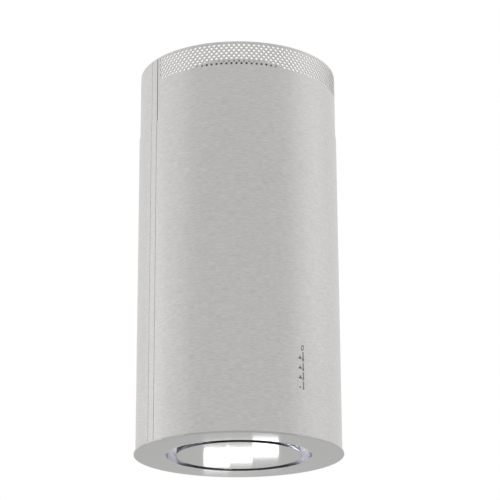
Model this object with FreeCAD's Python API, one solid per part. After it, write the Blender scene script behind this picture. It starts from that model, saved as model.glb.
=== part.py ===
import FreeCAD, Part
import math
import os
from FreeCAD import Vector

# Island range hood: a telescopic cylinder that hangs from the ceiling.
# Millimetres. Z is up, the ceiling plane is Z = 0, and the controls face -Y.
# The half shells of both tubes meet at the seams on -X and +X.

# ---- driving dimensions ------------------------------------------------
hood_height = 747.0          # ceiling to the underside, at the stored height
tube_radius = 190.0          # outside of the lower tube
sheet = 1.0                  # stainless sheet of both tubes
tube_clearance = 0.4         # sliding gap between the two tubes
lower_tube_length = 615.5    # lower tube, without the ring under it
upper_tube_length = 330.0
ceiling_gap = 1.0            # upper tube to the ceiling
raise_travel = 50.0          # how far the hood body can go up
lower_travel = 110.0         # how far it can go down

strip_width = 18.0           # joint strip between two half shells
lower_seam_gap = 0.8
upper_seam_gap = 2.6

backing_reach = 17.0         # half width of the backing behind a joint strip
backing_sheet = 1.5

vent_rows = 8                # perforated band of the upper front shell
vent_hole = 4.6
vent_pitch = 9.4
vent_row_pitch = 5.3
vent_top_margin = 7.0
vent_seam_margin = 9.0          # seam to the first hole's centre

ring_overhang = 3.4          # bottom ring beyond the tube
ring_lip = 3.6               # height of the ring's outer lip
ring_face = 1.5
ring_edge_radius = 0.8
opening_radius = 135.0
suction_gap = 20.0           # between the panel's rim and the opening
panel_depth = 12.0
collector_rise = 30.0        # radius of the curved trough
collector_straight = 8.0     # straight wall below the curve
collector_sheet = 0.8
filter_inset = 7.0             # filter inside the flat of the collector
filter_depth = 9.0
filter_clearance = 1.0
latch_width = 18.0
latch_length = 12.0
latch_hold = 4.0             # how far the bolt reaches under the filter's rim
latch_sheet = 1.5
latch_tab = 8.0
latch_gap = 1.0
panel_sheet = 1.2

plate_radius = 108.0
plate_thickness = 4.0
ceiling_bolt_pcd = 190.0
ceiling_bolt_hole = 8.0
duct_radius = 62.5           # 125 mm duct system
duct_wall = 1.0
collar_length = 50.0
angle_leg = 20.0             # angle-iron uprights
angle_wall = 2.0
frame_corner = 70.0          # outer corner of the upper uprights, in X and in Y
frame_clearance = 0.5        # between the upper and the lower uprights
upper_upright_length = 296.0
lower_upright_overlap = 150.0

deck_height = 347.0          # deck above the underside of the hood
deck_thickness = 1.5
deck_rim = 18.0
fit_gap = 0.5                # loose fit between pieces of one body

scroll_width = 140.0         # blower case, along X
scroll_centre_y = 55.0
scroll_centre_drop = 128.0   # impeller axis below the deck
cutoff_gap = 10.0            # impeller to the case where the scroll begins
scroll_growth = 10.0         # radius gained in each quarter turn
case_wall = 2.0
inlet_step = 14.0            # inlet smaller than the impeller, in radius
impeller_radius = 72.0
impeller_end_gap = 12.0      # impeller to the case, at each end
blade_count = 32
shaft_radius = 5.0
running_gap = 0.05           # radial clearance of pins and shafts

spigot_height = 55.0
flap_thickness = 1.5
pin_radius = 2.0
hinge_height = 10.0          # panel hinge axis above the underside
hinge_inset = 15.0           # hinge axis inside the panel's rim
hinge_pin_radius = 1.5
hinge_ear_gap = 2.2          # fixed ear outside the chord of the panel's rim
hinge_ear_step = 7.0         # lug on the panel, this far inside the ear
hinge_ear_height = 32.0      # top of the ears above the underside, under the collector
latch_travel = 4.0
magnet_x = 42.0              # catch magnets of the panel, either side of the middle
magnet_inset = 39.0          # and inside its rim
magnet_radius = 7.0
magnet_height = 10.0
lamp_height = 24.0           # lens above the underside
lamp_inset = 23.0            # lamp inside the opening
lamp_width = 12.0
lamp_half = 38.0             # half the lamp's length
blade_depth = 13.0           # of the wheel, along its radius
blade_bow = 3.0
blade_sheet = 0.9
wheel_sheet = 2.0            # centre disc and end rings
hub_wall = 9.0
hub_length = 13.0
shell_arm_z = -80.0          # cross straps and shell arms, below the vents
strap_height = 20.0
arm_sheet = 2.0
stud_radius = 2.0
mount_x, mount_y = 82.0, 42.0        # rubber mounts of the blower
mount_height = 8.0

# ---- levels and radii that follow --------------------------------------
underside = -hood_height
lower_bottom = underside + ring_face
lower_top = lower_bottom + lower_tube_length
inner_radius = tube_radius - sheet
upper_radius = inner_radius - tube_clearance
upper_inner = upper_radius - sheet
upper_top = -ceiling_gap
upper_bottom = upper_top - upper_tube_length
deck_z = underside + deck_height
panel_radius = opening_radius - suction_gap
collector_top = underside + collector_straight + collector_rise
collector_flat_radius = opening_radius - collector_rise
filter_radius = collector_flat_radius - filter_inset
filter_z = collector_top - 1.0   # lower face of the filter, level with the collector
lamp_z = underside + lamp_height
lamp_outer = opening_radius - lamp_inset
lamp_inner = lamp_outer - lamp_width
latch_tip = filter_radius - latch_hold
scroll_start = impeller_radius + cutoff_gap
inlet_radius = impeller_radius - inlet_step
impeller_width = scroll_width - 2 * impeller_end_gap
hinge_y = panel_radius - hinge_inset
hinge_ear_x = round(math.sqrt(panel_radius ** 2 - hinge_y ** 2), 1) + hinge_ear_gap
hinge_lug_x = hinge_ear_x - hinge_ear_step
magnet_y = magnet_inset - panel_radius
catch_post_y = -round(math.sqrt((collector_flat_radius - 2.0) ** 2 - magnet_x ** 2), 1)
blower_z = deck_z - scroll_centre_drop
ring_radius = tube_radius + ring_overhang
parts_folder = "parts"
UP = Vector(0, 0, 1)
ALONG_X = Vector(1, 0, 0)
ALONG_Y = Vector(0, 1, 0)


# ---- small building blocks ---------------------------------------------
def block(low, high):
    """A box between two opposite corners."""
    size = [b - a for a, b in zip(low, high)]
    return Part.makeBox(size[0], size[1], size[2], Vector(*low))


def rod(radius, length, base, direction=UP):
    return Part.makeCylinder(radius, length, Vector(*base), direction)


def tube(outer, inner, low, high):
    """An upright ring about the hood's axis."""
    whole = rod(outer, high - low, (0, 0, low))
    return whole.cut(rod(inner, high - low + 2, (0, 0, low - 1)))


def arc_wall(outer, inner, start, end, low, high):
    """Part of a ring, from one angle to another about +Z, in degrees."""
    a, b = math.radians(start), math.radians(end)
    middle = (a + b) / 2

    def at(radius, angle):
        return Vector(radius * math.cos(angle), radius * math.sin(angle), low)

    edges = [
        Part.Arc(at(outer, a), at(outer, middle), at(outer, b)).toShape(),
        Part.makeLine(at(outer, b), at(inner, b)),
        Part.Arc(at(inner, b), at(inner, middle), at(inner, a)).toShape(),
        Part.makeLine(at(inner, a), at(outer, a)),
    ]
    return Part.Face(Part.Wire(edges)).extrude(Vector(0, 0, high - low))


def turned(shape, angle):
    """The shape turned about the hood's axis."""
    copy = shape.copy()
    copy.rotate(Vector(0, 0, 0), UP, angle)
    return copy


def degrees_of(length, radius):
    return math.degrees(length / radius)


def group(solids):
    return Part.makeCompound(solids)


def save(name, shape):
    shape.exportStep(parts_folder + "/" + name + ".step")


# ---- ceiling frame ------------------------------------------------------
def ceiling_plate():
    plate = tube(plate_radius, duct_radius + fit_gap, -plate_thickness, 0)
    hole = rod(ceiling_bolt_hole / 2, plate_thickness + 2,
               (ceiling_bolt_pcd / 2, 0, -plate_thickness - 1))
    return plate.cut([turned(hole, quarter) for quarter in (0, 90, 180, 270)])


def ceiling_collar():
    """Duct collar that is pushed up through the plate and flanged under it."""
    pipe = tube(duct_radius, duct_radius - duct_wall, -collar_length, 0)
    flange = tube(duct_radius + 8, duct_radius - duct_wall,
                  -plate_thickness - 1.5, -plate_thickness)
    return pipe.fuse(flange).removeSplitter()


def angle_iron(corner, low, high, sign_x, sign_y):
    """Upright of angle iron with its outer corner at the same X and Y."""
    inner = corner - angle_wall
    end = corner - angle_leg
    leg_x = block((end, inner, low), (corner, corner, high))
    leg_y = block((inner, end, low), (corner, corner, high))
    upright = leg_x.fuse(leg_y).removeSplitter()
    if sign_x < 0:
        upright = upright.mirror(Vector(0, 0, 0), ALONG_X)
    if sign_y < 0:
        upright = upright.mirror(Vector(0, 0, 0), ALONG_Y)
    return upright


def upper_upright(sign_x, sign_y):
    top = -plate_thickness
    return angle_iron(frame_corner, top - upper_upright_length, top, sign_x, sign_y)




def upper_strap(side):
    """Strap welded across the outside of two uprights."""
    x_low = frame_corner if side > 0 else -frame_corner - arm_sheet
    return block((x_low, -frame_corner, shell_arm_z),
                 (x_low + arm_sheet, frame_corner, shell_arm_z + strap_height))


def shell_arm(side):
    """Arm from a strap to the joint strip, with a tab bent up at each end."""
    near = frame_corner + arm_sheet
    far = upper_inner - 3.2
    arm = block((near, -10, shell_arm_z), (far, 10, shell_arm_z + arm_sheet))
    near_tab = block((near, -10, shell_arm_z), (near + arm_sheet, 10, shell_arm_z + strap_height))
    far_tab = block((far - arm_sheet, -10, shell_arm_z), (far, 10, shell_arm_z + strap_height))
    shape = arm.fuse([near_tab, far_tab]).removeSplitter()
    if side < 0:
        shape = shape.mirror(Vector(0, 0, 0), ALONG_X)
    return shape


# ---- half shells and joint strips ---------------------------------------
# At each seam the front shell ends just before the seam plane. The strip
# starts just after it, and the rear shell follows the strip.
def front_shell(outer, low, high, front_gap):
    edge = degrees_of(front_gap / 2, outer)
    return arc_wall(outer, outer - sheet, 180 + edge, 360 - edge, low, high)


def rear_shell(outer, low, high, front_gap, rear_gap):
    edge = degrees_of(front_gap / 2 + strip_width + rear_gap, outer)
    return arc_wall(outer, outer - sheet, edge, 180 - edge, low, high)


def joint_strip(side, outer, low, high, front_gap, backing_low, backing_high):
    """Strip flush with the shells, on a wider backing that both are screwed to."""
    start = degrees_of(front_gap / 2, outer)
    end = start + degrees_of(strip_width, outer)
    inner = outer - sheet
    back = inner - fit_gap
    strip = arc_wall(outer, inner, start, end, low, high)
    web = arc_wall(inner, back, start, end, backing_low, backing_high)
    reach = degrees_of(backing_reach, outer)
    middle = (start + end) / 2
    backing = arc_wall(back, back - backing_sheet, middle - reach, middle + reach,
                       backing_low, backing_high)
    shape = strip.fuse([web, backing]).removeSplitter()
    if side < 0:
        shape = shape.mirror(Vector(0, 0, 0), ALONG_X)
    return shape


def vent_holes(outer):
    """Staggered rows of round holes through the front half of the upper tube."""
    step = degrees_of(vent_pitch, outer)
    margin = degrees_of(vent_seam_margin, outer)
    count = 1 + int((180 - 2 * margin) / step)
    first = 270 - (count - 1) * step / 2
    drill = rod(vent_hole / 2, 4 * sheet, (outer - 2.5 * sheet, 0, 0), ALONG_X)
    holes = []
    for row in range(vent_rows):
        z = upper_top - vent_top_margin - row * vent_row_pitch
        stagger = step / 2 if row % 2 else 0
        for column in range(count - row % 2):
            hole = turned(drill, first + stagger + column * step)
            hole.translate(Vector(0, 0, z))
            holes.append(hole)
    return holes


def upper_front_shell():
    shell = front_shell(upper_radius, upper_bottom, upper_top, upper_seam_gap)
    return shell.cut(vent_holes(upper_radius))


def round_head_screws(places, head_radius, head_height, shank_radius, shank_length):
    """Screws as (head base point, outward direction) pairs."""
    screws = []
    for base, direction in places:
        head = Part.makeCylinder(head_radius, head_height, base, direction)
        shank_base = base - direction * shank_length
        shank = Part.makeCylinder(shank_radius, shank_length + 0.1, shank_base, direction)
        screws.append(head.fuse(shank).removeSplitter())
    return group(screws)


# ---- bottom ring, collector and filter ----------------------------------
def revolved(points_and_arcs):
    """Closed wire in the XZ half plane, turned about the hood's axis."""
    face = Part.Face(Part.Wire(points_and_arcs))
    return face.revolve(Vector(0, 0, 0), UP, 360)


def bottom_ring():
    """Flat ring with a raised outer lip that the tube stands in."""
    face = tube(ring_radius, opening_radius, underside, underside + ring_face)
    lip = tube(ring_radius, tube_radius + 0.3, underside, underside + ring_lip)
    ring = face.fuse(lip).removeSplitter()
    edges = []
    for edge in ring.Edges:
        circle = edge.Curve
        if hasattr(circle, "Radius") and abs(circle.Radius - ring_radius) < 0.01:
            edges.append(edge)
    return ring.makeFillet(ring_edge_radius, edges)


def collector():
    """Polished trough: up from the opening, then curved in over the panel."""
    outer = opening_radius - 0.2
    inner = outer - collector_sheet
    low = underside
    turn = underside + collector_straight
    flat = collector_flat_radius
    seat = filter_radius + filter_clearance
    top = collector_top
    rise = collector_rise
    diagonal = math.sqrt(0.5)

    def at(radius, z):
        return Vector(radius, 0, z)

    r_out = outer - flat
    r_in = inner - flat
    wall_top = top + filter_depth + 3
    thick = collector_sheet
    edges = [
        Part.makeLine(at(inner, low), at(outer, low)),
        Part.makeLine(at(outer, low), at(outer, turn)),
        Part.Arc(at(outer, turn), at(flat + r_out * diagonal, turn + r_out * diagonal),
                 at(flat, turn + r_out)).toShape(),
        Part.makeLine(at(flat, turn + r_out), at(seat + thick, turn + r_out)),
        Part.makeLine(at(seat + thick, turn + r_out), at(seat + thick, wall_top)),
        Part.makeLine(at(seat + thick, wall_top), at(seat - 6, wall_top)),
        Part.makeLine(at(seat - 6, wall_top), at(seat - 6, wall_top - thick)),
        Part.makeLine(at(seat - 6, wall_top - thick), at(seat, wall_top - thick)),
        Part.makeLine(at(seat, wall_top - thick), at(seat, turn + r_in)),
        Part.makeLine(at(seat, turn + r_in), at(flat, turn + r_in)),
        Part.Arc(at(flat, turn + r_in), at(flat + r_in * diagonal, turn + r_in * diagonal),
                 at(inner, turn)).toShape(),
        Part.makeLine(at(inner, turn), at(inner, low)),
    ]
    return revolved(edges)


def filter_frame():
    """Rim of the round grease filter, with a step that traps the mesh."""
    low = filter_z
    high = filter_z + filter_depth
    rim = tube(filter_radius, filter_radius - 7, low, high)
    return rim.cut(tube(filter_radius - 1.2, filter_radius - 8, low + 1.2, high - 1.2))


def filter_disc(low, high):
    """Round layer that fills the frame from lip to lip."""
    return rod(filter_radius - 1.6, high - low, (0, 0, low))


def filter_mesh():
    """Lower and upper aluminium mesh of the grease filter."""
    low = filter_z + 1.3
    high = filter_z + filter_depth - 1.3
    return group([filter_disc(low, low + 1), filter_disc(high - 1, high)])


def filter_core():
    """Packed mesh between the two faces of the filter."""
    return filter_disc(filter_z + 2.4, filter_z + filter_depth - 2.4)


def filter_latch():
    """Sprung bolt with a finger tab that keeps the filter up."""
    top = filter_z - latch_gap
    outer = latch_tip + latch_length
    bolt = block((-latch_width / 2, -outer, top - latch_sheet),
                 (latch_width / 2, -latch_tip, top))
    tab = block((-latch_width / 2, -outer, top - latch_tab),
                (latch_width / 2, -outer + latch_sheet, top))
    return bolt.fuse(tab).removeSplitter()


def latch_guide():
    """Keeper that the bolt slides in, open at both ends."""
    half = latch_width / 2 + fit_gap
    top = filter_z - 0.1
    low = filter_z - latch_gap - latch_sheet - fit_gap
    y_far = -latch_tip - latch_length + latch_sheet + 1
    y_near = -filter_radius - filter_clearance
    outside = block((-half - 1.5, y_far, low - 1), (half + 1.5, y_near, top))
    return outside.cut(block((-half, y_far - 1, low), (half, y_near + 1, top + 1)))


def filter_tabs():
    """Two fixed tabs under the filter's rim, on the hinge side."""
    tabs = []
    for angle in (55, 125):
        tab = block((filter_radius - 5, -6, filter_z - latch_gap),
                    (filter_radius + 5, 6, filter_z - latch_gap + 0.9))
        tabs.append(turned(tab, angle))
    return group(tabs)


# ---- suction panel -------------------------------------------------------
def panel_skin():
    """Round stainless pan that faces down."""
    pan = rod(panel_radius, panel_depth, (0, 0, underside))
    pan = pan.makeFillet(ring_edge_radius, [pan.Edges[i] for i in bottom_edges(pan)])
    hollow = rod(panel_radius - panel_sheet, panel_depth, (0, 0, underside + panel_sheet))
    return pan.cut([hollow] + hinge_notches())


def bottom_edges(shape):
    """Numbers of the circular edges that lie at the underside."""
    found = []
    for number, edge in enumerate(shape.Edges):
        flat = edge.BoundBox.ZLength < 0.01
        if flat and abs(edge.BoundBox.ZMin - underside) < 0.01:
            found.append(number)
    return found


def panel_foam():
    inside = panel_radius - panel_sheet - fit_gap
    foam = rod(inside, panel_depth - 2 * panel_sheet - 1, (0, 0, underside + panel_sheet + 0.5))
    return foam.cut(hinge_notches())


def panel_liner():
    inside = panel_radius - panel_sheet - fit_gap / 2
    top = underside + panel_depth
    return rod(inside, panel_sheet, (0, 0, top - panel_sheet)).cut(hinge_notches())


hinge_z = underside + hinge_height
lug_sheet = 2.0
lug_radius = 4.0


def hinge_notches():
    """Room in the panel for the ears, the lugs and the pins."""
    low = hinge_z - lug_radius - 1
    x_near, x_far = hinge_lug_x - 2.5, hinge_ear_x + 3
    y_low, y_high = hinge_y - lug_radius - 2, hinge_y + 12
    notch = block((x_near, y_low, low), (x_far, y_high, low + 20))
    return [notch, notch.mirror(Vector(0, 0, 0), ALONG_X)]


def hinge_plate(x, low, high, y_low, y_high):
    """Plate with a round end and the pin's hole at the hinge axis."""
    x_low = x - lug_sheet / 2
    plate = block((x_low, y_low, low), (x_low + lug_sheet, y_high, high))
    round_end = rod(lug_radius, lug_sheet, (x_low, hinge_y, hinge_z), ALONG_X)
    hole = rod(hinge_pin_radius + running_gap, lug_sheet + 2,
               (x_low - 1, hinge_y, hinge_z), ALONG_X)
    return plate.fuse(round_end).cut(hole)


def both_sides(shape):
    return group([shape, shape.mirror(Vector(0, 0, 0), ALONG_X)])


def panel_hinge_lugs():
    """Lugs that reach back from the liner to the hinge axis."""
    top = underside + panel_depth
    y_foot = hinge_y - lug_radius - 2
    foot = block((hinge_lug_x - 8, y_foot - 12, top), (hinge_lug_x + 4, y_foot, top + 1.2))
    arm = hinge_plate(hinge_lug_x, top - 3, top + 1.2, y_foot, hinge_y)
    return both_sides(foot.fuse(arm).removeSplitter())


def hinge_pins():
    start, end = hinge_lug_x - 1.8, hinge_ear_x + 1.8
    return both_sides(rod(hinge_pin_radius, end - start, (start, hinge_y, hinge_z), ALONG_X))


def hinge_brackets():
    """Ears that hang from the collector, each with a foot turned inwards."""
    top = underside + hinge_ear_height
    y_low, y_high = hinge_y - lug_radius, hinge_y + lug_radius
    ear = hinge_plate(hinge_ear_x, hinge_z, top, y_low, y_high)
    foot = block((hinge_ear_x - 12, y_low, top - 1.2), (hinge_ear_x + 1, y_high, top))
    return both_sides(ear.fuse(foot).removeSplitter())


def panel_magnets():
    top = underside + panel_depth
    return group([rod(magnet_radius, magnet_height, (side * magnet_x, magnet_y, top))
                  for side in (-1, 1)])


def catch_plates():
    """Steel plates on posts that the magnets hold to."""
    low = underside + panel_depth + magnet_height + 0.3
    thick, half = 1.2, 4.0
    plates = []
    for side in (-1, 1):
        x = side * magnet_x
        plate = rod(magnet_radius + 1, thick, (x, magnet_y, low))
        arm = block((x - half, catch_post_y, low), (x + half, magnet_y, low + thick))
        post = block((x - half, catch_post_y, low), (x + half, catch_post_y + thick, filter_z - 0.1))
        plates.append(plate.fuse([arm, post]).removeSplitter())
    return group(plates)


def light_housing(side):
    """Slim lamp body on two posts under the collector, beside the suction gap."""
    low, wall = lamp_z + 1.5, 1.2
    high = low + 6
    outer = block((lamp_inner, -lamp_half, low), (lamp_outer, lamp_half, high))
    hollow = block((lamp_inner + wall, -lamp_half + wall, low - 1),
                   (lamp_outer - wall, lamp_half - wall, high - 1.5))
    shape = outer.cut(hollow)
    middle, post_y = (lamp_inner + lamp_outer) / 2, lamp_half - 8
    trough = opening_radius - 0.2 - collector_sheet - collector_flat_radius
    out = math.hypot(middle, post_y) + 2 - collector_flat_radius
    post_top = underside + collector_straight + math.sqrt(trough ** 2 - out ** 2) - 0.05
    posts = [rod(2, post_top - high, (middle, y, high)) for y in (-post_y, post_y)]
    shape = shape.fuse(posts).removeSplitter()
    return shape if side > 0 else shape.mirror(Vector(0, 0, 0), ALONG_X)


def light_lens(side):
    rim = 1.5
    shape = block((lamp_inner + rim, -lamp_half + rim, lamp_z + 1),
                  (lamp_outer - rim, lamp_half - rim, lamp_z + 3))
    return shape if side > 0 else shape.mirror(Vector(0, 0, 0), ALONG_X)


# ---- lower frame and deck ------------------------------------------------
deck_radius = inner_radius - 2 * fit_gap - backing_sheet - 0.6
stud_angles = (45, 135, 225, 315)
bracket_stud_z = underside + 28.0
deck_stud_z = deck_z - deck_rim / 2
spigot_screw_radius = duct_radius + 8.0


def lower_upright(sign_x, sign_y):
    corner = frame_corner + frame_clearance + angle_wall
    top = -plate_thickness - upper_upright_length + lower_upright_overlap
    return angle_iron(corner, deck_z + deck_thickness, top, sign_x, sign_y)


def height_clamp_screws():
    """Hex-head screws through the lower uprights, tight on the upper ones."""
    top = -plate_thickness - upper_upright_length + lower_upright_overlap
    face = frame_corner + frame_clearance + angle_wall
    screws = []
    for sign_x in (-1, 1):
        for sign_y in (-1, 1):
            y = sign_y * (frame_corner - angle_leg / 2)
            nut = hexagon(5.5, 4, (face, y, top - 20))
            head = hexagon(5.5, 3.5, (face + 6, y, top - 20))
            shank = rod(3, 2.1, (face + 3.95, y, top - 20), ALONG_X)
            screw = nut.fuse([head, shank]).removeSplitter()
            if sign_x < 0:
                screw = screw.mirror(Vector(0, 0, 0), ALONG_X)
            screws.append(screw)
    return group(screws)


def hexagon(radius, length, base):
    """Hexagonal bar along +X."""
    x, y, z = base
    corners = []
    for number in range(7):
        angle = math.radians(60 * number)
        corners.append(Vector(x, y + radius * math.cos(angle), z + radius * math.sin(angle)))
    return Part.Face(Part.makePolygon(corners)).extrude(Vector(length, 0, 0))


def stud_drill(z, radius):
    """Radial drills at the four stud places."""
    drill = rod(radius, 30, (deck_radius - 20, 0, z), ALONG_X)
    return [turned(drill, angle) for angle in stud_angles]


def deck():
    """Round plate with a rim turned down, open in the middle for the outlet."""
    plate = rod(deck_radius, deck_thickness, (0, 0, deck_z))
    rim = tube(deck_radius, deck_radius - deck_thickness, deck_z - deck_rim, deck_z)
    shape = plate.fuse(rim).removeSplitter()
    tools = [rod(duct_radius - 2, 10, (0, 0, deck_z - 5))]
    for x in (-mount_x, mount_x):
        for y in (-mount_y, mount_y):
            tools.append(rod(2.6, 10, (x, y, deck_z - 5)))
    return shape.cut(tools + stud_drill(deck_stud_z, stud_radius + 0.3))


def ring_brackets():
    """Four angle brackets between the bottom ring and the lower shells."""
    low = underside + ring_face
    outer = deck_radius
    foot = block((outer - 22, -12, low), (outer, 12, low + 1.5))
    wall = block((outer - 1.5, -12, low), (outer, 12, low + 38))
    bracket = foot.fuse(wall).removeSplitter()
    brackets = [turned(bracket, angle) for angle in stud_angles]
    drills = stud_drill(bracket_stud_z, stud_radius + 0.3)
    return group([b.cut(drills) for b in brackets])


def shell_studs():
    """Studs welded inside the lower shells, so that no screw shows outside."""
    inner = deck_radius - 8
    length = inner_radius - 0.3 - inner
    studs = []
    for z in (bracket_stud_z, deck_stud_z):
        stud = rod(stud_radius, length, (inner, 0, z), ALONG_X)
        studs += [turned(stud, angle) for angle in stud_angles]
    return group(studs)


def shell_nuts():
    face = deck_radius - 1.5
    nuts = []
    for z in (bracket_stud_z, deck_stud_z):
        nut = hexagon(4, 3.2, (face - 3.4, 0, z))
        nut = nut.cut(rod(stud_radius + 0.05, 10, (face - 8, 0, z), ALONG_X))
        nuts += [turned(nut, angle) for angle in stud_angles]
    return group(nuts)


# ---- blower ---------------------------------------------------------------
def scroll_face(inset, top):
    """Section of the scroll in the YZ plane: quarter arcs that grow, then the outlet."""
    start = scroll_start - inset
    second = scroll_start + scroll_growth - inset
    third = scroll_start + 2 * scroll_growth - inset
    y1, z1 = scroll_centre_y, blower_z
    y2 = y1 - scroll_growth
    z3 = z1 + scroll_growth
    diagonal = math.sqrt(0.5)
    x = -scroll_width / 2

    def at(y, z):
        return Vector(x, y, z)

    tongue = math.sqrt(start ** 2 - inset ** 2)
    right = y1 - inset
    left = y2 - third
    first_angle = (math.pi / 2 + math.asin(inset / start)) / 2
    edges = [
        Part.Arc(at(right, z1 + tongue),
                 at(y1 + start * math.cos(first_angle), z1 + start * math.sin(first_angle)),
                 at(y1 + start, z1)).toShape(),
        Part.Arc(at(y2 + second, z1), at(y2 + second * diagonal, z1 - second * diagonal),
                 at(y2, z1 - second)).toShape(),
        Part.Arc(at(y2, z3 - third), at(y2 - third * diagonal, z3 - third * diagonal),
                 at(left, z3)).toShape(),
        Part.makeLine(at(left, z3), at(left, top)),
        Part.makeLine(at(left, top), at(right, top)),
        Part.makeLine(at(right, top), at(right, z1 + tongue)),
    ]
    return Part.Face(Part.Wire(edges))


case_top = deck_z - mount_height


def blower_case(side):
    """Half of the scroll housing, with its share of the hanging flange."""
    half = scroll_width / 2
    outside = scroll_face(0, case_top).extrude(Vector(scroll_width, 0, 0))
    flange = block((-mount_x - 9, -mount_y - 9, case_top - 2.5),
                   (mount_x + 9, mount_y + 9, case_top))
    hollow = scroll_face(case_wall, case_top + 5)
    hollow.translate(Vector(case_wall, 0, 0))
    hollow = hollow.extrude(Vector(scroll_width - 2 * case_wall, 0, 0))
    inlet = rod(inlet_radius, scroll_width + 20,
                (-half - 10, scroll_centre_y, blower_z), ALONG_X)
    tools = [hollow, inlet]
    for x in (-mount_x, mount_x):
        for y in (-mount_y, mount_y):
            tools.append(rod(2.6, 10, (x, y, case_top - 6)))
    shape = outside.fuse(flange).cut(tools)
    seam = 0.05
    if side > 0:
        keep = block((seam, -300, -hood_height), (200, 300, 0))
    else:
        keep = block((-200, -300, -hood_height), (-seam, 300, 0))
    return shape.common(keep).removeSplitter()


def inlet_ring(side):
    """Rolled bell mouth screwed over the inlet hole."""
    x = scroll_width / 2 + 0.1
    base = (x, scroll_centre_y, blower_z)
    flange = rod(inlet_radius + 9, 1.5, base, ALONG_X)
    lip = rod(inlet_radius - 1, 6, (x - 5, scroll_centre_y, blower_z), ALONG_X)
    bore = rod(inlet_radius - 2.5, 20, (x - 10, scroll_centre_y, blower_z), ALONG_X)
    shape = flange.fuse(lip).cut(bore).removeSplitter()
    return shape if side > 0 else shape.mirror(Vector(0, 0, 0), ALONG_X)


def impeller_wheel():
    """Double-width wheel: centre disc, two end rings and forward-curved blades."""
    half = impeller_width / 2
    outer, inner = impeller_radius, impeller_radius - blade_depth
    hub_radius = shaft_radius + hub_wall
    disc = Part.makeCylinder(outer, wheel_sheet, Vector(-wheel_sheet / 2, 0, 0), ALONG_X)
    hub = Part.makeCylinder(hub_radius, hub_length + 1, Vector(-hub_length, 0, 0), ALONG_X)
    shape = disc.fuse(hub)
    for x in (-half, half - wheel_sheet):
        end_ring = Part.makeCylinder(outer, wheel_sheet, Vector(x, 0, 0), ALONG_X)
        opening = Part.makeCylinder(inner, wheel_sheet + 2, Vector(x - 1, 0, 0), ALONG_X)
        shape = shape.fuse(end_ring.cut(opening))

    def at(radius, sideways):
        return Vector(-half + 1, sideways, radius)

    middle = (outer + inner) / 2
    root, tip = inner + 1, outer - 0.8
    edges = [
        Part.Arc(at(root, 0), at(middle, blade_bow), at(tip, 0)).toShape(),
        Part.makeLine(at(tip, 0), at(tip, -blade_sheet)),
        Part.Arc(at(tip, -blade_sheet), at(middle, blade_bow - blade_sheet),
                 at(root, -blade_sheet)).toShape(),
        Part.makeLine(at(root, -blade_sheet), at(root, 0)),
    ]
    blade = Part.Face(Part.Wire(edges)).extrude(Vector(impeller_width - 2, 0, 0))
    blades = []
    for number in range(blade_count):
        copy = blade.copy()
        copy.rotate(Vector(0, 0, 0), ALONG_X, number * 360 / blade_count)
        blades.append(copy)
    shape = shape.fuse(blades)
    shape = shape.cut(Part.makeCylinder(shaft_radius + running_gap, 40, Vector(-20, 0, 0), ALONG_X))
    shape.translate(Vector(0, scroll_centre_y, blower_z))
    return shape


motor_start, motor_end = 8.0, 66.0


def impeller_shaft():
    return rod(shaft_radius, motor_end + 6 + 16, (-16, scroll_centre_y, blower_z), ALONG_X)


def motor():
    """Motor body inside the wheel, bored for the shaft."""
    y, z = scroll_centre_y, blower_z
    body = rod(42, motor_end - motor_start - 6, (motor_start + 3, y, z), ALONG_X)
    nose = rod(20, motor_end - motor_start, (motor_start, y, z), ALONG_X)
    bore = rod(shaft_radius + running_gap, 100, (motor_start - 5, y, z), ALONG_X)
    body = body.makeFillet(4, [e for e in body.Edges if e.BoundBox.XLength < 0.01])
    return body.fuse(nose).cut(bore).removeSplitter()


def motor_bracket():
    """Three arms from a ring behind the motor to the inlet ring."""
    x = scroll_width / 2 + 2
    y, z = scroll_centre_y, blower_z
    ring = rod(22, 2, (x, y, z), ALONG_X)
    arms = []
    for number in range(3):
        arm = block((x, y - 6, z + 12), (x + 2, y + 6, z + inlet_radius + 6))
        arm.rotate(Vector(x, y, z), ALONG_X, number * 120)
        arms.append(arm)
    bore = rod(shaft_radius + 3, 10, (x - 3, y, z), ALONG_X)
    return ring.fuse(arms).cut(bore).removeSplitter()


def motor_spacers():
    """Rubber-bushed posts between the motor and its bracket."""
    length = scroll_width / 2 + 2 - motor_end + 3
    posts = []
    for number in range(3):
        post = rod(4, length, (motor_end - 3, scroll_centre_y, blower_z + 28), ALONG_X)
        post.rotate(Vector(0, scroll_centre_y, blower_z), ALONG_X, number * 120)
        posts.append(post)
    return group(posts)


def rubber_mounts():
    mounts = []
    for x in (-mount_x, mount_x):
        for y in (-mount_y, mount_y):
            mount = rod(7, mount_height, (x, y, case_top))
            mounts.append(mount.cut(rod(2.3, mount_height + 2, (x, y, case_top - 1))))
    return group(mounts)


def blower_screws():
    places = []
    for x in (-mount_x, mount_x):
        for y in (-mount_y, mount_y):
            places.append((Vector(x, y, deck_z + deck_thickness), UP))
    return round_head_screws(places, 4.5, 2.5, 2.0, mount_height + deck_thickness + 5)


def outlet_seal():
    """Foam gasket between the case and the deck."""
    half = scroll_width / 2
    left = scroll_centre_y - scroll_growth - (scroll_start + 2 * scroll_growth)
    outside = block((-half, left, case_top), (half, scroll_centre_y, deck_z))
    return outside.cut(block((-half + 4, left + 4, case_top - 1),
                             (half - 4, scroll_centre_y - 4, deck_z + 1)))


# ---- outlet, flaps and duct -------------------------------------------------
spigot_low = deck_z + deck_thickness
flap_z = spigot_low + 20.0
flap_pin_y = 4.2
knuckle_radius = 3.5
spigot_outer = duct_radius - 0.4
spigot_inner = spigot_outer - 1.2
duct_overlap = 30.0


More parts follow.
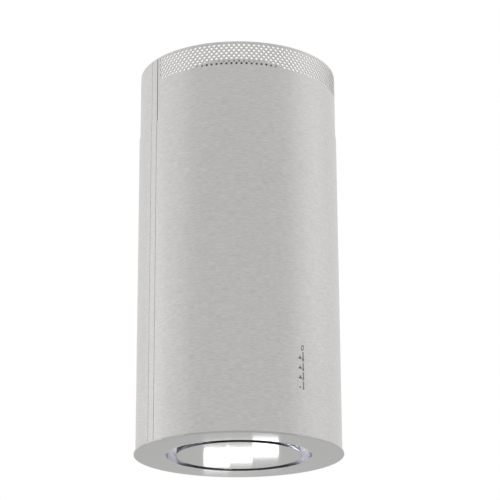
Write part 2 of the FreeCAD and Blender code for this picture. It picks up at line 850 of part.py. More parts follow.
def spigot():
    """Outlet collar with a flange, bored across for the flap pins."""
    pipe = tube(spigot_outer, spigot_inner, spigot_low, spigot_low + spigot_height)
    flange = tube(spigot_screw_radius + 6, spigot_inner, spigot_low, spigot_low + 1.5)
    shape = pipe.fuse(flange).removeSplitter()
    tools = []
    for side in (-1, 1):
        y = side * flap_pin_y
        tools.append(rod(pin_radius + running_gap, 200, (-100, y, flap_z), ALONG_X))
    hole = rod(2.2, 10, (spigot_screw_radius, 0, spigot_low - 2))
    tools += [turned(hole, quarter) for quarter in (0, 90, 180, 270)]
    return shape.cut(tools)


def flap_pins():
    half = spigot_outer - 0.5
    return group([rod(pin_radius, 2 * half, (-half, side * flap_pin_y, flap_z), ALONG_X)
                  for side in (-1, 1)])


def flap(side):
    """Half-round flap with a knuckle along its hinge edge."""
    radius = spigot_inner - 1.0
    low = flap_z - flap_thickness / 2
    disc = rod(radius, flap_thickness, (0, 0, low))
    keep = block((-radius, flap_pin_y, low - 1), (radius, radius, low + 5))
    half = math.sqrt(radius ** 2 - (flap_pin_y + knuckle_radius) ** 2) - 1
    knuckle = rod(knuckle_radius, 2 * half, (-half, flap_pin_y, flap_z), ALONG_X)
    hole = rod(pin_radius + running_gap, 2 * half + 10, (-half - 5, flap_pin_y, flap_z), ALONG_X)
    corner = block((-radius, -radius, low - 5), (-half, flap_pin_y + knuckle_radius + 1, low + 5))
    mirrored = corner.mirror(Vector(0, 0, 0), ALONG_X)
    shape = disc.common(keep).cut([corner, mirrored]).fuse(knuckle).cut(hole).removeSplitter()
    return shape if side > 0 else shape.mirror(Vector(0, 0, 0), ALONG_Y)


def spigot_screws():
    places = []
    for quarter in (0, 90, 180, 270):
        place = Vector(spigot_screw_radius, 0, spigot_low + 1.5)
        place = FreeCAD.Rotation(UP, quarter).multVec(place)
        places.append((place, UP))
    return round_head_screws(places, 3.6, 2.2, 1.7, 1.4)


def flexible_duct():
    """Aluminium hose between the outlet and the ceiling collar."""
    low = spigot_low + spigot_height - duct_overlap
    high = -collar_length + duct_overlap
    return tube(duct_radius + 1.6, duct_radius + 0.4, low, high)


# ---- electrics ---------------------------------------------------------------
box_low = deck_z + deck_thickness
box_x, box_y_near, box_y_far, box_depth = 68.0, 98.0, 150.0, 42.0
box_wall = 2.0


def control_box():
    outside = block((-box_x, box_y_near, box_low), (box_x, box_y_far, box_low + box_depth))
    inside = block((-box_x + box_wall, box_y_near + box_wall, box_low + box_wall),
                   (box_x - box_wall, box_y_far - box_wall, box_low + box_depth + 5))
    gland_hole = rod(8.2, 20, (box_x - 10, 124, box_low + 22), ALONG_X)
    return outside.cut([inside, gland_hole])


def control_cover():
    low = box_low + box_depth + 0.1
    lid = block((-box_x - 1, box_y_near - 1, low), (box_x + 1, box_y_far + 1, low + 2))
    return lid.makeFillet(0.8, [e for e in lid.Edges if abs(e.BoundBox.ZMin - low - 2) < 0.01])


def main_board():
    z = box_low + box_wall + 5
    return block((-box_x + 5, box_y_near + 5, z), (30, box_y_far - 5, z + 1.6))


def terminal_block():
    low = box_low + box_wall + 0.2
    body = block((38, 104, low), (58, 144, low + 16))
    for number in range(3):
        body = body.cut(rod(3, 12, (48, 112 + 12 * number, low + 6)))
    return body


def capacitor():
    z = box_low + box_wall + 6.8 + 12.2
    return rod(12, 52, (-58, 124, z), ALONG_X)


def cable_gland():
    """Gland for the supply lead, with its locknut inside the box."""
    x = box_x
    z = box_low + 22
    barrel = rod(8, 22, (x - 8, 124, z), ALONG_X)
    outer_nut = hexagon(12, 7, (x + 0.2, 124, z))
    dome = rod(9.5, 8, (x + 7, 124, z), ALONG_X)
    lock_nut = hexagon(12, 5, (x - box_wall - 5.2, 124, z))
    shape = barrel.fuse([outer_nut, dome, lock_nut])
    return shape.cut(rod(4.5, 50, (x - 20, 124, z), ALONG_X)).removeSplitter()


touch_low, touch_high = underside + 68.0, underside + 180.0
touch_front = -(tube_radius - sheet - 2.6)


def touch_holder():
    """Tray behind the front shell that presses the touch board to it."""
    tray = block((-21, touch_front, touch_low), (21, touch_front + 14, touch_high))
    pocket = block((-19, touch_front - 1, touch_low + 2), (19, touch_front + 12, touch_high - 2))
    return tray.cut(pocket)


def touch_board():
    return block((-18.5, touch_front + 0.5, touch_low + 2.5),
                 (18.5, touch_front + 2.1, touch_high - 2.5))


# ---- all pieces -----------------------------------------------------------------
def build():
    backing_top = upper_bottom - raise_travel - 8
    sides = {"left": -1, "right": 1}
    corners = {"front_left": (-1, -1), "front_right": (1, -1),
               "rear_left": (-1, 1), "rear_right": (1, 1)}
    pieces = {
        "ceiling_plate": ceiling_plate(),
        "ceiling_collar": ceiling_collar(),
        "upper_front_shell": upper_front_shell(),
        "upper_rear_shell": rear_shell(upper_radius, upper_bottom, upper_top,
                                       upper_seam_gap, lower_seam_gap),
        "lower_front_shell": front_shell(tube_radius, lower_bottom, lower_top, lower_seam_gap),
        "lower_rear_shell": rear_shell(tube_radius, lower_bottom, lower_top,
                                       lower_seam_gap, lower_seam_gap),
        "bottom_ring": bottom_ring(),
        "collector": collector(),
        "filter_frame": filter_frame(),
        "filter_mesh": filter_mesh(),
        "filter_core": filter_core(),
        "filter_latch": filter_latch(),
        "latch_guide": latch_guide(),
        "filter_tabs": filter_tabs(),
        "panel_skin": panel_skin(),
        "panel_foam": panel_foam(),
        "panel_liner": panel_liner(),
        "panel_hinge_lugs": panel_hinge_lugs(),
        "hinge_pins": hinge_pins(),
        "hinge_brackets": hinge_brackets(),
        "panel_magnets": panel_magnets(),
        "catch_plates": catch_plates(),
        "height_clamp_screws": height_clamp_screws(),
        "deck": deck(),
        "ring_brackets": ring_brackets(),
        "shell_studs": group(shell_studs().Solids + shell_nuts().Solids),
        "impeller_wheel": impeller_wheel(),
        "impeller_shaft": impeller_shaft(),
        "motor": motor(),
        "motor_bracket": group([motor_bracket()] + motor_spacers().Solids),
        "rubber_mounts": rubber_mounts(),
        "deck_screws": group(blower_screws().Solids + spigot_screws().Solids),
        "outlet_seal": outlet_seal(),
        "spigot": spigot(),
        "flap_pins": flap_pins(),
        "flap_front": flap(-1),
        "flap_rear": flap(1),
        "flexible_duct": flexible_duct(),
        "control_box": control_box(),
        "control_cover": control_cover(),
        "main_board": main_board(),
        "terminal_block": terminal_block(),
        "capacitor": capacitor(),
        "cable_gland": cable_gland(),
        "touch_holder": touch_holder(),
        "touch_board": touch_board(),
    }
    for name, sign in sides.items():
        pieces["upper_joint_strip_" + name] = joint_strip(
            sign, upper_radius, upper_bottom, upper_top, upper_seam_gap,
            upper_bottom, upper_top)
        pieces["lower_joint_strip_" + name] = joint_strip(
            sign, tube_radius, lower_bottom, lower_top, lower_seam_gap,
            lower_bottom, backing_top)
    pieces["upper_straps"] = group([upper_strap(sign) for sign in sides.values()])
    pieces["shell_arms"] = group([shell_arm(sign) for sign in sides.values()])
    pieces["upper_uprights"] = group([upper_upright(*signs) for signs in corners.values()])
    pieces["lower_uprights"] = group([lower_upright(*signs) for signs in corners.values()])
    pieces["light_housings"] = group([light_housing(sign) for sign in sides.values()])
    pieces["light_lenses"] = group([light_lens(sign) for sign in sides.values()])
    for name, sign in sides.items():
        pieces["blower_case_" + name] = blower_case(sign)
    pieces["inlet_rings"] = group([inlet_ring(sign) for sign in sides.values()])
    return pieces


os.makedirs(parts_folder, exist_ok=True)
for piece_name, piece_shape in build().items():
    save(piece_name, piece_shape)
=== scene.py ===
import math

import bpy
from mathutils import Matrix, Vector


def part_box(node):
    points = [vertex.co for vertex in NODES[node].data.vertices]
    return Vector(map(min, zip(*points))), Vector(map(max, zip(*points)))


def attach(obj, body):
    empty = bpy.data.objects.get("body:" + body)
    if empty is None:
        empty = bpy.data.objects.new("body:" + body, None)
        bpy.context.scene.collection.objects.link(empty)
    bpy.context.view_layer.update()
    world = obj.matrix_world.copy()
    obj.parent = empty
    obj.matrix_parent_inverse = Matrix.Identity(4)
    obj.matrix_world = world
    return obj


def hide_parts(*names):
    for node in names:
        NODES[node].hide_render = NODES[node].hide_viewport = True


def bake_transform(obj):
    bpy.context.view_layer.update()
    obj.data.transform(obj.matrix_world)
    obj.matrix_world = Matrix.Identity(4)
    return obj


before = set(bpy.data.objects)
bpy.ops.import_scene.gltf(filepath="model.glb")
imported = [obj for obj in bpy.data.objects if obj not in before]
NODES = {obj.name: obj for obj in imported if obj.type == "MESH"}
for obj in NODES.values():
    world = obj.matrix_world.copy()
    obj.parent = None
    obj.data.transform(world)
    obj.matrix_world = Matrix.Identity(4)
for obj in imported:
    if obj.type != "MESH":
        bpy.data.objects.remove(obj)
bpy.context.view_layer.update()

bl_info = {
    "name": "Island hood finish",
    "version": (1, 0, 0),
    "blender": (4, 5, 0),
    "location": "View3D > Sidebar > Hood",
    "description": "Models and finishes the visible pieces of a cylinder island hood",
    "category": "Object",
}

# ---- what the frame gives ------------------------------------------------
LOWER_LOW, LOWER_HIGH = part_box("lower_front_shell")
UPPER_LOW, UPPER_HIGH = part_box("upper_front_shell")
RING_LOW, RING_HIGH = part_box("bottom_ring")
PANEL_LOW, PANEL_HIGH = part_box("panel_skin")
COLLECTOR_LOW, COLLECTOR_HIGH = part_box("collector")
DUCT_LOW, DUCT_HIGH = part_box("flexible_duct")
TUBE_RADIUS = -LOWER_LOW.y
UPPER_RADIUS = -UPPER_LOW.y
RING_RADIUS = RING_HIGH.x
PANEL_RADIUS = PANEL_HIGH.x
UNDERSIDE = RING_LOW.z
MM = 0.001
BACKING_REACH = 17.0 * MM        # half width of the backing behind a joint strip
BACKING_SHEET = 1.5 * MM
RAISE_ROOM = 58.0 * MM           # the hood body's way up, with 8 mm to spare
HINGE_NOTCH_PLACE = Vector((55.75, 103.0, 0.0)) * MM
HINGE_NOTCH_SIZE = (12.5 * MM, 18.0 * MM, 20.0 * MM)


# ---- sizes and colours that a user may change ----------------------------
class HoodSizes(bpy.types.PropertyGroup):
    """Sizes of the sheet metal and its details."""

    sheet: bpy.props.FloatProperty(
        name="Sheet", description="Thickness of the tube's sheet steel",
        default=1.0 * MM, unit="LENGTH")
    strip_width: bpy.props.FloatProperty(
        name="Joint strip", description="Width of the strip between two half shells",
        default=18.0 * MM, unit="LENGTH")
    lower_gap: bpy.props.FloatProperty(
        name="Lower seam", description="Gap at each side of the lower joint strip",
        default=0.8 * MM, unit="LENGTH")
    upper_gap: bpy.props.FloatProperty(
        name="Upper seam", description="Gap between the upper front shell and its strip",
        default=2.6 * MM, unit="LENGTH")
    vent_hole: bpy.props.FloatProperty(
        name="Vent hole", description="Diameter of the holes in the vent band",
        default=4.6 * MM, unit="LENGTH")
    vent_pitch: bpy.props.FloatProperty(
        name="Vent pitch", description="Distance between holes of one row",
        default=9.4 * MM, unit="LENGTH")
    vent_row_pitch: bpy.props.FloatProperty(
        name="Row pitch", description="Distance between two rows of holes",
        default=5.3 * MM, unit="LENGTH")
    vent_top: bpy.props.FloatProperty(
        name="Vent margin", description="From the top edge to the first row of holes",
        default=7.0 * MM, unit="LENGTH")
    vent_side: bpy.props.FloatProperty(
        name="Vent side margin", description="From a seam to the first hole's centre",
        default=9.0 * MM, unit="LENGTH")
    opening_radius: bpy.props.FloatProperty(
        name="Opening", description="Radius of the opening in the bottom ring",
        default=135.0 * MM, unit="LENGTH")
    ring_lip: bpy.props.FloatProperty(
        name="Lip", description="Height of the bottom ring's outer lip",
        default=3.6 * MM, unit="LENGTH")
    mark_height: bpy.props.FloatProperty(
        name="Mark", description="Height of one control mark",
        default=7.0 * MM, unit="LENGTH")


class HoodColours(bpy.types.PropertyGroup):
    """Colours of the visible finishes."""

    steel: bpy.props.FloatVectorProperty(
        name="Tube steel", description="Brushed steel of the tubes", subtype="COLOR",
        default=(0.586, 0.577, 0.564), min=0.0, max=1.0)
    # Set darker than the tube steel to give the downward-facing ring and panel their darker tone:
    # painted shade, on top of the floor that the steel mirrors.
    underside: bpy.props.FloatVectorProperty(
        name="Underside steel", description="Satin steel of the ring and the panel",
        subtype="COLOR", default=(0.46, 0.46, 0.45), min=0.0, max=1.0)
    polished: bpy.props.FloatVectorProperty(
        name="Polished steel", description="Bright steel of the collector", subtype="COLOR",
        default=(0.86, 0.855, 0.90), min=0.0, max=1.0)
    zinc: bpy.props.FloatVectorProperty(
        name="Zinc", description="Zinc-coated frame and brackets", subtype="COLOR",
        default=(0.66, 0.68, 0.70), min=0.0, max=1.0)
    print_ink: bpy.props.FloatVectorProperty(
        name="Print", description="Ink of the control marks", subtype="COLOR",
        default=(0.045, 0.042, 0.045), min=0.0, max=1.0)
    floor: bpy.props.FloatVectorProperty(
        name="Floor", description="Plain studio floor", subtype="COLOR",
        default=(0.86, 0.86, 0.86), min=0.0, max=1.0)


def sizes():
    return bpy.context.scene.hood_sizes


def colours():
    return bpy.context.scene.hood_colours


# ---- shader maths ---------------------------------------------------------
class Value:
    """A socket of a node tree, used in plain expressions."""

    def __init__(self, tree, socket):
        self.tree = tree
        self.socket = socket

    def node(self, kind, settings=None, inputs=None, output=0):
        return add_node(self.tree, kind, settings, inputs, output)

    def math(self, operation, *others):
        inputs = {0: self}
        for number, other in enumerate(others):
            inputs[number + 1] = other
        return self.node("ShaderNodeMath", {"operation": operation}, inputs)

    def flipped(self, operation, first):
        return self.node("ShaderNodeMath", {"operation": operation}, {0: first, 1: self})

    def __add__(self, other):
        return self.math("ADD", other)

    def __radd__(self, other):
        return self.flipped("ADD", other)

    def __sub__(self, other):
        return self.math("SUBTRACT", other)

    def __rsub__(self, other):
        return self.flipped("SUBTRACT", other)

    def __mul__(self, other):
        return self.math("MULTIPLY", other)

    def __rmul__(self, other):
        return self.flipped("MULTIPLY", other)

    def __truediv__(self, other):
        return self.math("DIVIDE", other)


def add_node(tree, kind, settings=None, inputs=None, output=0):
    """Any node: its settings first, then the values or links of its sockets."""
    node = tree.nodes.new(kind)
    for key, value in (settings or {}).items():
        if key == "stops":
            set_stops(node, value)
        else:
            setattr(node, key, value)
    for key, value in (inputs or {}).items():
        if isinstance(value, Value):
            tree.links.new(value.socket, node.inputs[key])
        else:
            node.inputs[key].default_value = value
    return Value(tree, node.outputs[output]) if node.outputs else None


def set_stops(node, stops):
    """Stops of a colour ramp as (place, colour) pairs."""
    elements = node.color_ramp.elements
    while len(elements) > len(stops):
        elements.remove(elements[-1])
    while len(elements) < len(stops):
        elements.new(0.5)
    for element, (place, colour) in zip(elements, stops):
        element.position = place
        element.color = colour


class Finish:
    """A material with one Principled shader, and the coordinates it reads."""

    def __init__(self, name, colour, metallic, roughness, **constants):
        self.material = bpy.data.materials.new(f"{name}_finish")
        self.material.use_nodes = True
        self.tree = self.material.node_tree
        self.shader = self.tree.nodes["Principled BSDF"]
        self.shader.inputs["Base Color"].default_value = (*colour, 1.0)
        self.shader.inputs["Metallic"].default_value = metallic
        self.shader.inputs["Roughness"].default_value = roughness
        for key, value in constants.items():
            self.shader.inputs[key.replace("_", " ")].default_value = value

    def node(self, kind, settings=None, inputs=None, output=0):
        return add_node(self.tree, kind, settings, inputs, output)

    def feed(self, socket, value):
        self.tree.links.new(value.socket, self.shader.inputs[socket])

    def place(self):
        return self.node("ShaderNodeTexCoord", output="Object")

    def axes(self):
        place = self.place()
        return [self.node("ShaderNodeSeparateXYZ", None, {0: place}, number)
                for number in range(3)]

    def vector(self, x, y, z):
        return self.node("ShaderNodeCombineXYZ", None, {0: x, 1: y, 2: z})

    def noise(self, vector, scale, detail=2.0, roughness=0.5):
        return self.node("ShaderNodeTexNoise", None,
                         {"Vector": vector, "Scale": scale, "Detail": detail,
                          "Roughness": roughness})

    def shade(self, colour, factor):
        """The colour multiplied by a grey factor."""
        grey = self.vector(factor, factor, factor)
        return self.node("ShaderNodeMix", {"data_type": "RGBA", "blend_type": "MULTIPLY"},
                         {0: 1.0, 6: (*colour, 1.0), 7: grey}, 2)

    def bump(self, height, strength, distance):
        normal = self.node("ShaderNodeBump", None,
                           {"Height": height, "Strength": strength, "Distance": distance})
        self.feed("Normal", normal)


def brushed_tube_finish():
    """Steel brushed round the tube: fine short streaks, each a little lighter or darker."""
    finish = Finish("brushed_tube", colours().steel, 1.0, 0.36)
    x, y, z = finish.axes()
    arc = y.math("ARCTAN2", x) * TUBE_RADIUS
    fine = finish.noise(finish.vector(arc * 70.0, z * 1100.0, 0.0), 1.0, 2.0, 0.6)
    short = finish.noise(finish.vector(arc * 80.0, z * 420.0, 3.0), 1.0, 2.0, 0.6)
    broad = finish.noise(finish.vector(arc * 26.0, z * 110.0, 9.0), 1.0, 2.0, 0.5)
    cloud = finish.noise(finish.vector(arc * 6.0, z * 5.0, 7.0), 1.0, 2.0, 0.5)
    streak = fine * 0.3 + short * 0.7 - 0.5
    tone = 1.0 + streak * 0.62 + (broad - 0.5) * 0.13 + (cloud - 0.5) * 0.06
    finish.feed("Base Color", finish.shade(colours().steel, tone))
    finish.feed("Roughness", 0.36 + streak * 0.25)
    finish.bump(fine, 0.12, 0.0002)
    return finish.material


def satin_finish(name, colour, roughness, grain=900.0):
    """Fine non-directional satin steel with faint handling marks."""
    finish = Finish(name, colour, 1.0, roughness)
    place = finish.place()
    grain_noise = finish.noise(place, grain, 2.0)
    smear = finish.noise(place, 9.0, 3.0)
    finish.feed("Base Color", finish.shade(colour, 0.97 + grain_noise * 0.06))
    finish.feed("Roughness", roughness * 0.8 + smear * roughness * 0.4)
    finish.bump(grain_noise, 0.02, 0.0001)
    return finish.material


def polished_finish():
    """Drawn and polished steel with very faint turning rings."""
    finish = Finish("polished_steel", colours().polished, 1.0, 0.1)
    x, y, z = finish.axes()
    radius = (x * x + y * y).math("SQRT")
    rings = finish.noise(finish.vector(radius * 900.0, z * 900.0, 0.0), 1.0, 2.0)
    finish.feed("Roughness", 0.15 + rings * 0.08)
    finish.bump(rings, 0.04, 0.0001)
    return finish.material


def zinc_finish(name, colour, flake=55.0):
    """Zinc coat with the flat crystal flakes of galvanised sheet."""
    finish = Finish(name, colour, 0.4, 0.42)
    flakes = finish.node("ShaderNodeTexVoronoi", {"feature": "F1"},
                         {"Vector": finish.place(), "Scale": flake}, "Color")
    grey = finish.node("ShaderNodeSeparateXYZ", None, {0: flakes}, 0)
    finish.feed("Base Color", finish.shade(colour, 0.86 + grey * 0.26))
    finish.feed("Roughness", 0.34 + grey * 0.16)
    return finish.material


def plastic_finish(name, colour, roughness, grain=1500.0):
    """Moulded plastic with a fine spark-eroded grain."""
    finish = Finish(name, colour, 0.0, roughness, Specular_IOR_Level=0.45)
    grain_noise = finish.noise(finish.place(), grain, 2.0)
    finish.feed("Base Color", finish.shade(colour, 0.92 + grain_noise * 0.16))
    finish.feed("Roughness", roughness - 0.06 + grain_noise * 0.12)
    finish.bump(grain_noise, 0.15, 0.0001)
    return finish.material


def foam_finish():
    """Open-cell foam, darker towards each cell's middle where the bump dips: painted shade in the
    pores.
    """
    finish = Finish("open_foam", (0.035, 0.035, 0.038), 0.0, 0.95)
    cells = finish.node("ShaderNodeTexVoronoi", {"feature": "F1"},
                        {"Vector": finish.place(), "Scale": 700.0}, "Distance")
    # painted shade: darker towards each cell's middle, in the pores
    finish.feed("Base Color", finish.shade((0.05, 0.05, 0.055), 0.5 + cells))
    finish.bump(cells, 0.6, 0.0006)
    return finish.material


def foil_finish():
    """Crinkled aluminium foil."""
    finish = Finish("duct_foil", (0.72, 0.73, 0.75), 1.0, 0.28)
    crinkle = finish.noise(finish.place(), 140.0, 4.0, 0.7)
    finish.feed("Roughness", 0.2 + crinkle * 0.2)
    finish.bump(crinkle, 0.5, 0.0008)
    return finish.material


def board_finish():
    """Circuit board: green solder mask over faint copper tracks."""
    finish = Finish("circuit_board", (0.02, 0.16, 0.07), 0.0, 0.35)
    tracks = finish.node("ShaderNodeTexBrick", {"offset": 0.5},
                         {"Vector": finish.place(), "Scale": 160.0,
                          "Color1": (0.02, 0.16, 0.07, 1), "Color2": (0.02, 0.13, 0.06, 1),
                          "Mortar": (0.06, 0.30, 0.12, 1), "Mortar Size": 0.06})
    finish.feed("Base Color", tracks)
    return finish.material


def lens_finish():
    """Frosted lamp lens."""
    finish = Finish("lamp_lens", (0.93, 0.95, 1.0), 0.0, 0.35, Transmission_Weight=0.2,
                    Emission_Strength=6.0)
    frost = finish.noise(finish.place(), 1200.0, 2.0)
    finish.feed("Emission Color", finish.shade((0.9, 0.93, 1.0), 0.9 + frost * 0.2))
    finish.bump(frost, 0.1, 0.0001)
    return finish.material


def ink_finish():
    """Screen-printed ink with a slightly uneven edge tone."""
    finish = Finish("print_ink", colours().print_ink, 0.0, 0.5)
    mottle = finish.noise(finish.place(), 2500.0, 2.0)
    finish.feed("Base Color", finish.shade(colours().print_ink, 0.8 + mottle * 0.4))
    return finish.material


def finish_named(name, make):
    """The material of that name, made once."""
    return bpy.data.materials.get(f"{name}_finish") or make()


FINISHES = {
    "brushed_tube": brushed_tube_finish,
    # The ring and the panel take the darker underside colour, which is painted shade.
    "underside_satin_painted_shade": lambda: satin_finish("underside_satin_painted_shade", colours().underside, 0.05),
    "panel_satin_painted_shade": lambda: satin_finish("panel_satin_painted_shade", colours().underside, 0.045),
    "polished_steel": polished_finish,
    "galvanised": lambda: zinc_finish("galvanised", colours().zinc),
    "bright_zinc": lambda: satin_finish("bright_zinc", (0.55, 0.57, 0.6), 0.3),
    "filter_aluminium": lambda: satin_finish("filter_aluminium", (0.66, 0.67, 0.69), 0.3, 2500.0),
    "duct_foil": foil_finish,
    "case_plastic": lambda: plastic_finish("case_plastic", (0.028, 0.028, 0.03), 0.5),
    "motor_metal": lambda: satin_finish("motor_metal", (0.4, 0.41, 0.42), 0.45, 400.0),
    "mount_rubber": lambda: plastic_finish("mount_rubber", (0.012, 0.012, 0.012), 0.85),
    "open_foam": foam_finish,
    "magnet_plate": lambda: satin_finish("magnet_plate", (0.25, 0.25, 0.27), 0.35),
    "lamp_housing": lambda: plastic_finish("lamp_housing", (0.62, 0.62, 0.63), 0.45),
    "lamp_lens": lens_finish,
    "circuit_board": board_finish,
    "capacitor_can": lambda: satin_finish("capacitor_can", (0.6, 0.6, 0.62), 0.25),
    # Near-white ceiling plate in place of its galvanised zinc, to lighten the shade seen through
    # the vent holes: painted light.
    "plate_painted_light": lambda: plastic_finish("plate_painted_light", (0.86, 0.86, 0.85), 0.5),
    "print_ink": ink_finish,
}


def finish(name):
    return finish_named(name, FINISHES[name])


# ---- modelling helpers ----------------------------------------------------
TURN_STEPS = 240


def deselect():
    if bpy.context.mode != "OBJECT":
        bpy.ops.object.mode_set(mode="OBJECT")
    bpy.ops.object.select_all(action="DESELECT")


def edit(piece, select="SELECT"):
    deselect()
    piece.select_set(True)
    bpy.context.view_layer.objects.active = piece
    bpy.ops.object.mode_set(mode="EDIT")
    bpy.ops.mesh.select_all(action=select)


def placed():
    """The new primitive with its place moved into its mesh."""
    bpy.ops.object.transform_apply(location=True, rotation=True, scale=True)
    return bpy.context.object


def named(piece, name):
    piece.name = name
    piece.data.name = name
    return piece


def drawn_line(name, points):
    """One vertex drawn out along the points, as a profile or a path."""
    deselect()
    bpy.ops.mesh.primitive_plane_add(size=MM, location=points[0])
    piece = named(placed(), name)
    edit(piece)
    bpy.ops.mesh.merge(type="CENTER")
    for start, end in zip(points, points[1:]):
        step = Vector(end) - Vector(start)
        bpy.ops.mesh.extrude_vertices_move(TRANSFORM_OT_translate={"value": step})
    bpy.ops.mesh.select_all(action="SELECT")
    return piece


def merged(threshold=0.01 * MM):
    bpy.ops.mesh.select_all(action="SELECT")
    bpy.ops.mesh.remove_doubles(threshold=threshold)
    bpy.ops.mesh.normals_make_consistent(inside=False)
    bpy.ops.object.mode_set(mode="OBJECT")


def at(radius, z, angle=0.0):
    return (radius * math.cos(angle), radius * math.sin(angle), z)


def corner(radius, z, fillet, start, end, steps=5):
    """Points of a rounded profile corner; radius and z are the arc's centre."""
    points = []
    for number in range(steps + 1):
        turn = math.radians(start + (end - start) * number / steps)
        points.append(at(radius + fillet * math.cos(turn), z + fillet * math.sin(turn)))
    return points


def turned(name, profile, steps=TURN_STEPS, closed=True):
    """A closed profile spun once round the hood's axis."""
    piece = drawn_line(name, profile + profile[:1] if closed else profile)
    bpy.ops.mesh.spin(steps=steps, angle=2 * math.pi, center=(0, 0, 0), axis=(0, 0, 1))
    merged()
    return piece


def modify(piece, kind, **settings):
    """Adds a modifier and applies it."""
    deselect()
    piece.select_set(True)
    bpy.context.view_layer.objects.active = piece
    modifier = piece.modifiers.new(kind.title(), kind)
    for key, value in settings.items():
        setattr(modifier, key, value)
    bpy.ops.object.modifier_apply(modifier=modifier.name)
    return piece


def smooth(piece, angle=32.0):
    deselect()
    piece.select_set(True)
    bpy.context.view_layer.objects.active = piece
    bpy.ops.object.shade_smooth_by_angle(angle=math.radians(angle))
    return modify(piece, "WEIGHTED_NORMAL", keep_sharp=True, weight=100)


def finished(piece, material, body, slot, *nodes):
    """Material, body and the CAD nodes that the piece stands for; the slot is not used."""
    piece.data.materials.clear()
    piece.data.materials.append(finish(material))
    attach(piece, body)
    if nodes:
        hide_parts(*nodes)
    return piece


def arc_sheet(name, radius, start, end, low, high, thickness, edge=0.25 * MM):
    """A sheet that follows the tube from one angle to another, its edges softened."""
    piece = drawn_line(name, [at(radius, low, start), at(radius, high, start)])
    steps = max(3, round(TURN_STEPS * (end - start) / (2 * math.pi)))
    bpy.ops.mesh.spin(steps=steps, angle=start - end, center=(0, 0, 0), axis=(0, 0, 1))
    merged()
    outwards(piece)
    modify(piece, "SOLIDIFY", thickness=thickness, offset=-1.0, use_even_offset=True)
    modify(piece, "BEVEL", width=edge, segments=1, limit_method="ANGLE",
           angle_limit=math.radians(50))
    return smooth(piece)


def outwards(piece):
    """Turns an open sheet's faces away from the hood's axis."""
    face = piece.data.polygons[0]
    if face.normal.dot(Vector((face.center.x, face.center.y, 0.0))) < 0:
        edit(piece)
        bpy.ops.mesh.flip_normals()
        bpy.ops.object.mode_set(mode="OBJECT")


def joined(name, pieces):
    deselect()
    for piece in pieces:
        piece.select_set(True)
    bpy.context.view_layer.objects.active = pieces[0]
    bpy.ops.object.join()
    return named(bpy.context.object, name)


# ---- the tubes --------------------------------------------------------------
class HOOD_OT_lower_tube(bpy.types.Operator):
    """Two half shells of the lower tube and the strips between them"""

    bl_idname = "hood.lower_tube"
    bl_label = "Lower tube"

    def execute(self, context):
        own = sizes()
        make_shell("lower_tube_front", "lower_front_shell", "hood_body", TUBE_RADIUS,
                   math.pi, 2 * math.pi, own.lower_gap / 2, LOWER_LOW.z, LOWER_HIGH.z)
        start = (own.lower_gap * 1.5 + own.strip_width) / TUBE_RADIUS
        make_shell("lower_tube_rear", "lower_rear_shell", "hood_body", TUBE_RADIUS,
                   start, math.pi - start, 0.0, LOWER_LOW.z, LOWER_HIGH.z)
        for side in ("left", "right"):
            make_strip("lower", side, "hood_body", TUBE_RADIUS, own.lower_gap)
        return {"FINISHED"}


class HOOD_OT_upper_tube(bpy.types.Operator):
    """Upper tube: a perforated front shell, a plain rear shell and two strips"""

    bl_idname = "hood.upper_tube"
    bl_label = "Upper tube"

    def execute(self, context):
        own = sizes()
        make_vent_shell()
        rear_gap = UPPER_REAR_START
        make_shell("upper_tube_rear", "upper_rear_shell", "ceiling_frame", UPPER_RADIUS,
                   rear_gap, math.pi - rear_gap, 0.0, UPPER_LOW.z, UPPER_HIGH.z)
        for side in ("left", "right"):
            make_strip("upper", side, "ceiling_frame", UPPER_RADIUS, own.upper_gap)
        return {"FINISHED"}


def rear_start(node, radius):
    """Angle at which a rear shell starts, from its lowest Y."""
    return math.asin(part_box(node)[0].y / radius)


UPPER_REAR_START = rear_start("upper_rear_shell", UPPER_RADIUS)


def make_shell(name, node, body, radius, start, end, gap, low, high):
    edge = gap / radius
    piece = arc_sheet(name, radius, start + edge, end - edge, low, high, sizes().sheet)
    return finished(piece, "brushed_tube", body, "brushed_tube", node)


def make_strip(tube, side, body, radius, gap):
    """Strip flush with the shells, on the wider backing that joins them."""
    own = sizes()
    node = f"{tube}_joint_strip_{side}"
    low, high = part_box(node)
    start = gap / 2 / radius
    end = start + own.strip_width / radius
    inner = radius - own.sheet
    back = radius - 1.5 * own.sheet
    reach = BACKING_REACH / radius
    middle = (start + end) / 2
    web_low, web_high = backing_span(tube, low.z, high.z)
    spans = {"strip": (radius, start, end, low.z, high.z, own.sheet, 0.25 * MM),
             "web": (inner, start, end, web_low, web_high, inner - back, 0.05 * MM),
             "backing": (back, middle - reach, middle + reach, web_low, web_high,
                         BACKING_SHEET, 0.25 * MM)}
    pieces = []
    for part, (outer, begin, finish_at, *rest) in spans.items():
        if side == "left":
            begin, finish_at = math.pi - finish_at, math.pi - begin
        pieces.append(arc_sheet(part, outer, begin, finish_at, *rest))
    piece = joined(f"{tube}_strip_{side}", pieces)
    return finished(smooth(piece), "brushed_tube", body, "brushed_tube", node)


def backing_span(tube, low, high):
    """The lower backing ends below the highest place that the upper tube comes down to."""
    if tube == "upper":
        return low, high
    return low, UPPER_LOW.z - RAISE_ROOM


def circle_outline(radius, x, z, sides=16):
    """A flat ring of edges in the XZ plane, added to the piece being edited."""
    bpy.ops.mesh.primitive_circle_add(vertices=sides, radius=radius, location=(x, 0, z),
                                      rotation=(math.pi / 2, 0, 0))


def pick(piece, test):
    """Selects the vertices that pass the test, and what lies between them."""
    bpy.ops.mesh.select_all(action="DESELECT")
    bpy.ops.object.mode_set(mode="OBJECT")
    for vertex in piece.data.vertices:
        vertex.select = test(vertex.co)
    bpy.ops.object.mode_set(mode="EDIT")
    bpy.ops.mesh.select_mode(type="VERT")


def stretch(x=0.0, z=0.0, times=1):
    """Draws the picked edge out along the sheet."""
    for _ in range(times):
        bpy.ops.mesh.extrude_region_move(
            TRANSFORM_OT_translate={"value": (x / times, 0, z / times)})


